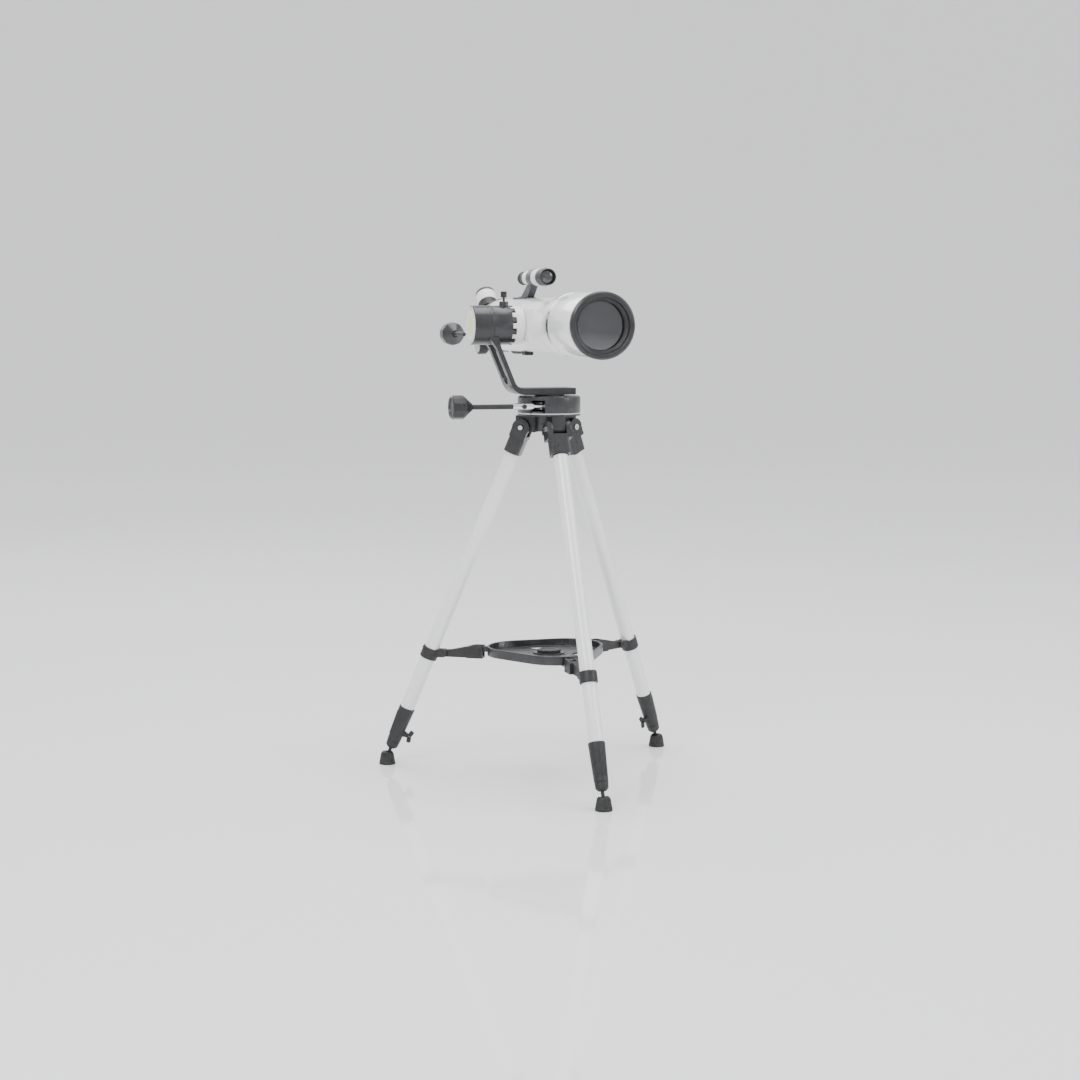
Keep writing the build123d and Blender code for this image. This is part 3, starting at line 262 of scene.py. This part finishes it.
def dial_face(disc):
    """Printed disc: dark rim line, degree ticks and a soft yellow-green middle."""
    paint = Paint("dial", (0.76, 0.77, 0.74), 0.35, IOR=1.46)
    spot = paint.node("ShaderNodeSeparateXYZ")
    paint.link(paint.coords, spot.inputs[0])
    y = paint.math("SUBTRACT", spot.outputs["Y"], disc.y)
    z = paint.math("SUBTRACT", spot.outputs["Z"], disc.z)
    square = paint.math("ADD", paint.math("MULTIPLY", y, y), paint.math("MULTIPLY", z, z))
    radius = paint.math("SQRT", square)
    angle = paint.math("ARCTAN2", z, y)
    outer = disc.radius

    def ticks(per_turn, width, start, end):
        phase = paint.math("MULTIPLY", angle, per_turn / (2 * math.pi))
        off = paint.math("ABSOLUTE", paint.math("SUBTRACT", phase, paint.math("ROUND", phase)))
        arc = paint.math("MULTIPLY", off, 2 * math.pi / per_turn)
        on = paint.math("LESS_THAN", paint.math("MULTIPLY", arc, radius), width / 2)
        past_start = paint.math("GREATER_THAN", radius, start)
        before_end = paint.math("LESS_THAN", radius, end)
        inside = paint.math("MULTIPLY", past_start, before_end)
        return paint.math("MULTIPLY", on, inside)

    fine = ticks(72, 0.0005, outer * 0.84, outer * 0.92)
    coarse = ticks(24, 0.0008, outer * 0.78, outer * 0.92)
    circle = paint.math("COMPARE", radius, outer * 0.925, 0.0004)
    ink = paint.math("MAXIMUM", paint.math("MAXIMUM", fine, coarse), circle)
    glow = paint.ranged(radius, outer * 0.25, outer * 0.74, 0.85, 0)
    ground = paint.mixed(glow, (0.76, 0.77, 0.74), (0.66, 0.70, 0.24))
    soiling = paint.ranged(paint.noise(150, 4), 0.3, 0.7, 0, 0.08)
    mottled = paint.mixed(soiling, ground, (0.5, 0.5, 0.45))
    paint.link(paint.mixed(ink, mottled, (0.12, 0.13, 0.12)), paint.shader.inputs["Base Color"])
    return paint.wear(90, 0.3, 0.45).grain(2600, 0.00003, strength=0.2)


def floor_paint():
    """Pale polished floor that glows a little, so that the backdrop stays bright."""
    glow = {"Emission_Color": (1, 1, 1, 1), "Emission_Strength": 0.14}
    paint = Paint("floor", (0.80, 0.80, 0.80), 0.06, IOR=1.38, **glow)
    return paint.wear(0.8, 0.04, 0.08)


SLOT_PAINTS = {
    "white_paint": white_paint,
    "white_plastic": white_plastic,
    "black_gloss": black_gloss,
    "black_metal": black_metal,
    "black_matte": black_matte,
    "dark_grey": dark_grey,
    "rubber": rubber,
    "chrome": chrome,
    "steel": steel,
    "brass": brass,
    "lens_glass": lens_glass,
}
PAINTS = {slot: make().material for slot, make in SLOT_PAINTS.items()}


# ------------------------------------------------------------------ mesh making
SHARP_ANGLE = 38          # degrees; a sharper edge is not shaded smooth


def finish_mesh(name, mesh_data, body, slot):
    """An object from a bmesh, shaded smooth up to an angle, riding on a body."""
    bmesh.ops.recalc_face_normals(mesh_data, faces=mesh_data.faces)
    mesh = bpy.data.meshes.new(name)
    mesh_data.to_mesh(mesh)
    mesh_data.free()
    mesh.shade_smooth()
    mesh.set_sharp_from_angle(angle=math.radians(SHARP_ANGLE))
    mesh.materials.append(PAINTS[slot])
    piece = bpy.data.objects.new(name, mesh)
    bpy.context.scene.collection.objects.link(piece)
    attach(piece, body)
    return piece


def rounded(points, radius, steps=4):
    """An open outline with each inner corner turned into a short arc."""
    result = [Vector(points[0])]
    for before, corner, after in zip(points, points[1:], points[2:]):
        corner = Vector(corner)
        back, ahead = Vector(before) - corner, Vector(after) - corner
        cut = min(radius, 0.45 * back.length, 0.45 * ahead.length)
        start, end = corner + back.normalized() * cut, corner + ahead.normalized() * cut
        for i in range(steps + 1):
            t = i / steps
            result.append(start * (1 - t) ** 2 + corner * 2 * t * (1 - t) + end * t ** 2)
    result.append(Vector(points[-1]))
    return result


def closed_outline(points, radius):
    """A closed outline with all of its corners rounded."""
    return rounded(points + points[:2], radius)[1:-1]


def around(place, radius, angle, height):
    """A point at a radius and angle about the Z axis of place."""
    return place @ Vector((radius * math.cos(angle), radius * math.sin(angle), height))


def lathe(mesh_data, outline, place, segments=96, closed=False):
    """Turn a (radius, height) outline about the Z axis of place."""
    rings = []
    for radius, height in outline:
        if radius < 1e-7:
            rings.append([mesh_data.verts.new(place @ Vector((0, 0, height)))])
            continue
        ring = []
        for i in range(segments):
            angle = 2 * math.pi * i / segments
            ring.append(mesh_data.verts.new(around(place, radius, angle, height)))
        rings.append(ring)
    pairs = list(zip(rings, rings[1:]))
    if closed:
        pairs.append((rings[-1], rings[0]))
    for a, b in pairs:
        for i in range(segments):
            j = (i + 1) % segments
            corners = [a[i % len(a)], a[j % len(a)], b[j % len(b)], b[i % len(b)]]
            unique = list(dict.fromkeys(corners))
            if len(unique) > 2:
                mesh_data.faces.new(unique)


def turned_piece(
        name, outline, origin, direction, body, slot, corner=0.0004, closed=False, segments=96):
    """A lathe-turned piece with rounded corners."""
    mesh_data = bmesh.new()
    smooth = closed_outline(outline, corner) if closed else rounded(outline, corner)
    place = Matrix.Translation(Vector(origin)) @ facing(direction)
    lathe(mesh_data, smooth, place, segments, closed)
    return finish_mesh(name, mesh_data, body, slot)


def socket_screw(mesh_data, place, radius, height, sides=6, segments=24):
    """A low cap screw with a six-sided recess, standing on the XY plane of place."""
    recess = 0.52 * radius

    def polygon(angle):
        part = (angle + math.pi / sides) % (2 * math.pi / sides) - math.pi / sides
        return recess * math.cos(math.pi / sides) / math.cos(part)

    edge = 0.18 * radius
    rings = [
        (lambda a: radius, -0.2 * height),
        (lambda a: radius, height - edge),
        (lambda a: radius - 0.3 * edge, height - 0.3 * edge),
        (lambda a: radius - edge, height),
        (lambda a: 1.08 * polygon(a), height),
        (polygon, height - 0.12 * edge),
        (polygon, 0.35 * height),
    ]
    rows = []
    for reach, z in rings:
        row = []
        for i in range(segments):
            angle = 2 * math.pi * i / segments
            row.append(mesh_data.verts.new(around(place, reach(angle), angle, z)))
        rows.append(row)
    for a, b in zip(rows, rows[1:]):
        for i in range(segments):
            j = (i + 1) % segments
            mesh_data.faces.new((a[i], a[j], b[j], b[i]))
    for row, z in ((rows[0], -0.2 * height), (rows[-1], 0.35 * height)):
        hub = mesh_data.verts.new(place @ Vector((0, 0, z)))
        for i in range(segments):
            mesh_data.faces.new((row[i], row[(i + 1) % segments], hub))


def screws(name, places, radius, height, body, slot):
    """Several equal cap screws on one body."""
    mesh_data = bmesh.new()
    for place in places:
        socket_screw(mesh_data, place, radius, height)
    return finish_mesh(name, mesh_data, body, slot)


def rib_ring(mesh_data, place, radius, count, length, width, depth, start=0.0):
    """Small rounded grip ribs round a cylinder, standing along the Z axis of place."""
    profile = [(-0.5, -0.3), (-0.42, 0.55), (-0.2, 0.95), (0.2, 0.95), (0.42, 0.55), (0.5, -0.3)]
    levels = [(0.0, 0.1), (0.06, 1.0), (0.94, 1.0), (1.0, 0.1)]
    for k in range(count):
        turn = place @ Matrix.Rotation(start + 2 * math.pi * k / count, 4, "Z")
        rows = []
        for along, full in levels:
            row = []
            for across, rise in profile:
                reach = radius + depth * (rise * full if rise > 0 else rise)
                row.append(mesh_data.verts.new(turn @ Vector((reach, across * width, along * length))))
            rows.append(row)
        for a, b in zip(rows, rows[1:]):
            for i in range(len(profile) - 1):
                mesh_data.faces.new((a[i], a[i + 1], b[i + 1], b[i]))
            mesh_data.faces.new((a[-1], a[0], b[0], b[-1]))
        mesh_data.faces.new(rows[0])
        mesh_data.faces.new(rows[-1][::-1])


# ------------------------------------------------------------------ optical tube
axis_z = centre("main_tube").z
AXIS = Vector((0, 0, axis_z))
ALONG = Vector((0, 1, 0))
TUBE_BODY = body_of("main_tube")
WALL = 0.0014             # wall of the main tube and the dew shield
FLARE = 0.101             # length over which the tube widens to the dew shield
REAR_LIP = 0.0008         # the rear cell's step over the tube


def tube_pieces():
    """Main tube, dew shield and trim ring as smooth turned shells."""
    front, rear = low("main_tube").y, high("main_tube").y
    wide = half_width("main_tube")
    narrow = half_width("focuser_housing") - REAR_LIP
    steps = 28

    def swell(t):
        return narrow + (wide - narrow) * (0.5 + 0.5 * math.cos(math.pi * t))

    outer = [(swell(i / steps), front + FLARE * i / steps) for i in range(steps + 1)]
    outer += [(narrow, rear - 0.0006), (narrow - 0.0005, rear)]
    inner = [(narrow - WALL, rear), (narrow - WALL, front + FLARE)]
    inner += [(wide - WALL, front), (wide - 0.0004, front)]
    mesh_data = bmesh.new()
    place = Matrix.Translation(AXIS) @ facing(ALONG)
    lathe(mesh_data, outer + inner, place, 128, closed=True)
    tube = finish_mesh("tube_shell", mesh_data, TUBE_BODY, "white_paint")
    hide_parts("main_tube")

    front, rear = low("dew_shield").y, high("dew_shield").y
    outline = [(wide - WALL, front), (wide, front), (wide, rear), (wide - WALL, rear)]
    shield = turned_piece(
        "dew_shell", outline, AXIS, ALONG, TUBE_BODY, "white_paint", 0.0005, True, 128)
    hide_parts("dew_shield")

    front, rear = low("dew_trim_ring").y, high("dew_trim_ring").y
    radius = half_width("dew_trim_ring")
    groove = 0.0007
    outline = [(wide - WALL, front + 0.0002), (radius, front + 0.0002), (radius, front + 0.003)]
    outline += [(radius - groove, front + 0.0036), (radius - groove, rear - 0.0036)]
    outline += [(radius, rear - 0.003), (radius, rear - 0.0002), (wide - WALL, rear - 0.0002)]
    trim = turned_piece("trim_band", outline, AXIS, ALONG, TUBE_BODY, "chrome", 0.0004, True, 128)
    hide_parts("dew_trim_ring")


def front_pieces():
    """Front ring, matte liner of its stepped bore, and the objective."""
    front = low("front_ring").y
    radius = half_width("front_ring")
    lens_radius = half_width("objective_lens")
    lens_front, lens_rear = low("objective_lens").y, high("objective_lens").y
    seat = lens_front + 0.005
    bore = lens_radius - 0.0010
    outline = [
        (bore, seat + 0.001),
        (bore, seat - 0.0018),
        (bore + 0.0032, front + 0.0095),
        (0.0496, front + 0.0080),
        (0.0500, front + 0.0014),
        (0.0512, front),
        (radius - 0.0034, front),
        (radius, front + 0.0028),
        (radius, front + 0.0098),
        (radius - 0.0022, front + 0.0104),
        (radius - 0.0022, seat + 0.001),
    ]
    ring = turned_piece("front_cell", outline, AXIS, ALONG, TUBE_BODY, "black_gloss", 0.0007, True, 144)
    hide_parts("front_ring")

    liner = [
        (bore - 0.0002, seat + 0.0008),
        (bore - 0.0002, seat - 0.0022),
        (bore + 0.0030, front + 0.0091),
        (0.0493, front + 0.0076),
        (0.0497, front + 0.0020),
        (0.0501, front + 0.0020),
        (0.0501, front + 0.0086),
        (bore + 0.0034, front + 0.0100),
        (bore + 0.0004, seat + 0.0008),
    ]
    turned_piece("bore_liner", liner, AXIS, ALONG, TUBE_BODY, "black_matte", 0.0003, True, 144)

    place = Matrix.Translation(AXIS) @ facing(ALONG)
    dome = seat - lens_front
    curve = (bore ** 2 + dome ** 2) / (2 * dome)
    steps = 18
    profile = [(0.0, lens_front)]
    for i in range(1, steps + 1):
        r = bore * i / steps
        profile.append((r, lens_front + curve - math.sqrt(curve ** 2 - r ** 2)))
    profile += [(bore, lens_rear - 0.002), (0.0, lens_rear - 0.002)]
    mesh_data = bmesh.new()
    lathe(mesh_data, profile, place, 144)
    lens = finish_mesh("objective_glass", mesh_data, TUBE_BODY, "lens_glass")
    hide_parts("objective_lens")


def eyepiece_pieces():
    """Eyepiece: bright nose, white barrel with a grip band, dark rim and eye lens."""
    body = body_of("eyepiece")
    up = Vector((0, 1, 1)).normalized()
    axis_y = joint("diagonal_turn")["pos_m"][1]
    bend = Vector((0, axis_y, axis_z))
    chamfer_reach = 0.018     # from the rim's end face out to its highest corner, at 45 degrees
    top = (high("eyepiece").z - axis_z) * math.sqrt(2) - chamfer_reach
    shoulder = 0.0624
    radius = half_width("eyepiece")
    nose = [(0.0, 0.0345), (0.0150, 0.0345), (0.0156, 0.0355), (0.0156, shoulder), (0.0, shoulder)]
    turned_piece("eyepiece_nose", nose, bend, up, body, "chrome", 0.0003)
    barrel = [(0.0, shoulder), (radius - 0.0016, shoulder), (radius, shoulder + 0.002)]
    barrel += [(radius, top - 0.010), (radius - 0.0006, top - 0.0085), (0.0, top - 0.0085)]
    white = turned_piece("eyepiece_barrel", barrel, bend, up, body, "white_plastic", 0.0008)
    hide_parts("eyepiece")
    rim = [(0.0115, top - 0.005), (0.0135, top - 0.0005), (0.0180, top)]
    rim += [(radius - 0.0008, top - 0.0025), (radius - 0.0004, top - 0.0084), (0.0115, top - 0.0084)]
    turned_piece("eyepiece_rim", rim, bend, up, body, "dark_grey", 0.0007, True)
    eye = [(0.0, top - 0.0046), (0.006, top - 0.0050), (0.0116, top - 0.0062)]
    eye += [(0.0116, top - 0.008), (0.0, top - 0.008)]
    turned_piece("eye_lens", eye, bend, up, body, "lens_glass", 0.0002, segments=64)
    mesh_data = bmesh.new()
    place = Matrix.Translation(bend + up * (shoulder + 0.006)) @ facing(up)
    rib_ring(mesh_data, place, radius - 0.0003, 36, 0.009, 0.0022, 0.00035)
    finish_mesh("eyepiece_grip", mesh_data, body, "white_plastic")


def finder_pieces():
    """The finder's two lenses, and grip ribs round its front and rear cells."""
    spot = Vector((0, 0, centre("finder_cells").z))
    front, rear = low("finder_cells").y, high("finder_cells").y
    dome = [(0.0, front + 0.0032), (0.006, front + 0.0037), (0.0125, front + 0.0052)]
    dome += [(0.0129, front + 0.0066), (0.0, front + 0.0066)]
    turned_piece("finder_objective", dome, spot, ALONG, TUBE_BODY, "lens_glass", 0.0002, segments=72)
    eye = [(0.0, rear - 0.0030), (0.004, rear - 0.0032), (0.0078, rear - 0.0042)]
    eye += [(0.0078, rear - 0.0048), (0.0, rear - 0.0048)]
    turned_piece("finder_eye_lens", eye, spot, ALONG, TUBE_BODY, "lens_glass", 0.0002, segments=48)
    mesh_data = bmesh.new()
    place = Matrix.Translation(spot + ALONG * (rear - 0.034)) @ facing(ALONG)
    rib_ring(mesh_data, place, half_width("finder_tube") - 0.0039, 32, 0.012, 0.0014, 0.0006)
    place = Matrix.Translation(spot + ALONG * (front + 0.004)) @ facing(ALONG)
    rib_ring(mesh_data, place, 0.0159, 40, 0.013, 0.0013, 0.0004)
    finish_mesh("finder_grips", mesh_data, TUBE_BODY, "black_matte")


tube_pieces()
front_pieces()
eyepiece_pieces()
finder_pieces()


# ------------------------------------------------------------------ head details
def head_pieces():
    """Rings on the drum and caps in the drive handles."""
    arm_body = body_of("fork_arm")
    drum = centre("altitude_dial")
    radius = half_depth("altitude_clutch")
    outline = [(radius - 0.0010, -0.0011), (radius + 0.0002, -0.0009)]
    outline += [(radius + 0.0002, 0.0009), (radius - 0.0010, 0.0011)]
    for name, x in (
        ("drum_band_outer", low("altitude_housing").x + 0.006),
        ("drum_band_inner", high("altitude_housing").x - 0.004),
    ):
        spot = (x, drum.y, drum.z)
        turned_piece(name, outline, spot, (1, 0, 0), arm_body, "black_gloss", 0.0003, True)

    for prefix, direction in (("azimuth", Vector((-1, 0, 0))), ("altitude", Vector((0, 1, 0)))):
        body = body_of(prefix + "_drive_shaft")
        start = Vector(joint(prefix + "_drive_spin")["pos_m"])
        ends = [(corner(prefix + "_drive_knob") - start).dot(direction) for corner in (low, high)]
        far = max(ends)
        end = start + direction * far
        cap = [(0.0, -0.0036), (0.0130, -0.0036), (0.0136, -0.0030), (0.0136, -0.0026), (0.0, -0.0022)]
        turned_piece(prefix + "_knob_cap", cap, end, direction, body, "dark_grey", 0.0003)


head_pieces()


# ------------------------------------------------------------------ leg details
BRACKET_DROP = 0.0534     # from the hinge bolt to the lower edge of the bracket
PLUG_DROP = 0.6772        # from the hinge bolt to the end plug of the inner leg
COLLAR_RADIUS = 0.0172


def leg_pieces():
    """Collar screw, tube seal and end plug of each leg."""
    for name in LEGS:
        swing = joint("leg_" + name + "_swing")
        hinge = Vector(swing["pos_m"])
        side = Vector(swing["axis"])
        down = Vector(joint("leg_" + name + "_extend")["axis"])
        outward = side.cross(down).normalized()
        if outward.dot(Vector((hinge.x, hinge.y, 0))) < 0:
            outward = -outward
        body = body_of("leg_bracket_" + name)
        collar = centre("brace_collar_" + name)
        drop = (collar - hinge).dot(down)
        spot = hinge + down * (drop - 0.002) + outward * COLLAR_RADIUS
        place = Matrix.Translation(spot) @ facing(outward)
        screws("collar_screw_" + name, [place], 0.0024, 0.0010, body, "black_matte")
        lip = [(0.0141, -0.0008), (0.0158, -0.0005), (0.0158, 0.0007), (0.0141, 0.0012)]
        spot = hinge + down * BRACKET_DROP
        turned_piece("leg_seal_" + name, lip, spot, down, body, "black_matte", 0.0003, True, 64)
        length = (Vector(joint("foot_" + name + "_tilt")["pos_m"]) - hinge).dot(down)
        plug = [(0.0112, 0.0), (0.0126, 0.0), (0.0129, 0.0008)]
        plug += [(0.0121, 0.0114), (0.0078, 0.0160), (0.0035, 0.0164)]
        plug = [(radius, PLUG_DROP + height) for radius, height in plug]
        plug += [(0.0035, length - 0.0040), (0.0, length - 0.0040)]
        body = body_of("inner_leg_" + name)
        turned_piece("leg_plug_" + name, plug, hinge, down, body, "black_matte", 0.0004, segments=64)


TRAY_FLOOR_Z = 0.235      # upper face of the tray's floor


def tray_pieces():
    """Raised rings on the tray floor and a bead round each hole."""
    body = body_of("tray")
    mesh_data = bmesh.new()
    for radius in (0.037, 0.0900):
        ridge = [(radius - 0.0012, -0.0003), (radius - 0.0005, 0.0007)]
        ridge += [(radius + 0.0005, 0.0007), (radius + 0.0012, -0.0003)]
        place = Matrix.Translation((0, 0, TRAY_FLOOR_Z))
        lathe(mesh_data, closed_outline(ridge, 0.0003), place, 128, closed=True)
    for mount in frame["record"]["mounts"]:
        if not mount["name"].startswith("tray_hole"):
            continue
        x, y, _ = mount["pos_m"]
        r = mount["dims"]["r_mm"] * MM
        bead = [(r + 0.0001, -0.0006), (r + 0.0001, 0.0008)]
        bead += [(r + 0.0020, 0.0008), (r + 0.0026, -0.0006)]
        place = Matrix.Translation((x, y, TRAY_FLOOR_Z))
        lathe(mesh_data, closed_outline(bead, 0.0004), place, 72, closed=True)
    finish_mesh("tray_beads", mesh_data, body, "black_gloss")


leg_pieces()
tray_pieces()


# ------------------------------------------------------------------ CAD nodes that stay in view
class Disc:
    """Centre and radius of the altitude dial, for its printed face."""

    def __init__(self, node):
        spot = centre(node)
        self.y, self.z = spot.y, spot.z
        self.radius = half_depth(node)


DIAL = dial_face(Disc("altitude_dial")).material
for part in frame["record"]["subparts"]:
    piece = frame["nodes"][part["node"]]
    slot = part["material_slot"]
    piece.data.materials.clear()
    piece.data.materials.append(DIAL if slot == "dial" else PAINTS[slot])

SOFT_EDGES = {
    "fork_arm": 0.9,
    "azimuth_housing": 0.5,
    "hub_casting": 0.6,
    "altitude_clutch": 0.5,
    "tube_saddle": 0.6,
    "focuser_housing": 0.4,
    "finder_bracket": 0.5,
    "tray": 0.4,
    **{"leg_bracket_" + name: 0.7 for name in LEGS},
    **{"brace_collar_" + name: 0.5 for name in LEGS},
    **{"brace_" + name: 0.6 for name in LEGS},
}
for node, width in SOFT_EDGES.items():
    piece = frame["nodes"][node]
    weld = piece.modifiers.new("weld", "WELD")
    weld.merge_threshold = 0.00001
    bevel = piece.modifiers.new("bevel", "BEVEL")
    bevel.width = width * MM
    bevel.segments = 2
    bevel.limit_method = "ANGLE"
    bevel.angle_limit = math.radians(40)
    bevel.harden_normals = True
    bevel.use_clamp_overlap = True


# ------------------------------------------------------------------ studio
def studio():
    """Round sweep under and behind the object, soft lights and a pale surround."""
    mesh_data = bmesh.new()
    reach, bend, wall = 7.0, 4.0, 9.0
    profile = [(0.0, 0.0), (0.6, 0.0), (2.5, 0.0), (reach, 0.0)]
    for i in range(1, 17):
        angle = math.pi / 2 * i / 16
        profile.append((reach + bend * math.sin(angle), bend * (1 - math.cos(angle))))
    profile.append((reach + bend, wall))
    lathe(mesh_data, profile, Matrix.Identity(4), 96)
    bmesh.ops.recalc_face_normals(mesh_data, faces=mesh_data.faces)
    mesh = bpy.data.meshes.new("sweep")
    mesh_data.to_mesh(mesh)
    mesh_data.free()
    mesh.shade_smooth()
    mesh.materials.append(floor_paint().material)
    sweep = bpy.data.objects.new("sweep", mesh)
    bpy.context.scene.collection.objects.link(sweep)

    target = Vector((0, 0, 0.5))
    for name, spot, size, power in (
        ("key", (-2.6, -3.0, 3.6), 2.4, 130),
        ("fill", (3.2, -2.2, 2.4), 2.6, 70),
        ("top", (0.2, 0.3, 4.2), 3.2, 130),
        ("back", (-0.8, 3.4, 3.2), 2.6, 60),
    ):
        lamp = bpy.data.lights.new(name, "AREA")
        lamp.shape = "DISK"
        lamp.size = size
        lamp.energy = power
        holder = bpy.data.objects.new(name, lamp)
        holder.location = spot
        holder.rotation_euler = (Vector(spot) - target).to_track_quat("Z", "Y").to_euler()
        bpy.context.scene.collection.objects.link(holder)

    world = bpy.data.worlds.new("surround")
    world.use_nodes = True
    world.node_tree.nodes["Background"].inputs["Color"].default_value = (0.95, 0.96, 1.0, 1)
    world.node_tree.nodes["Background"].inputs["Strength"].default_value = 1.2
    bpy.context.scene.world = world


def camera():
    """The photograph's viewpoint: a little above the tube, turned to the stand's left."""
    data = bpy.data.cameras.new("camera")
    data.lens = 67.6
    data.sensor_width = 36
    data.clip_end = 100
    holder = bpy.data.objects.new("camera", data)
    holder.location = (-1.1648, -3.7086, 0.878)
    holder.rotation_euler = (math.radians(83.79), 0, math.radians(-17.18))
    bpy.context.scene.collection.objects.link(holder)
    bpy.context.scene.camera = holder


studio()
camera()
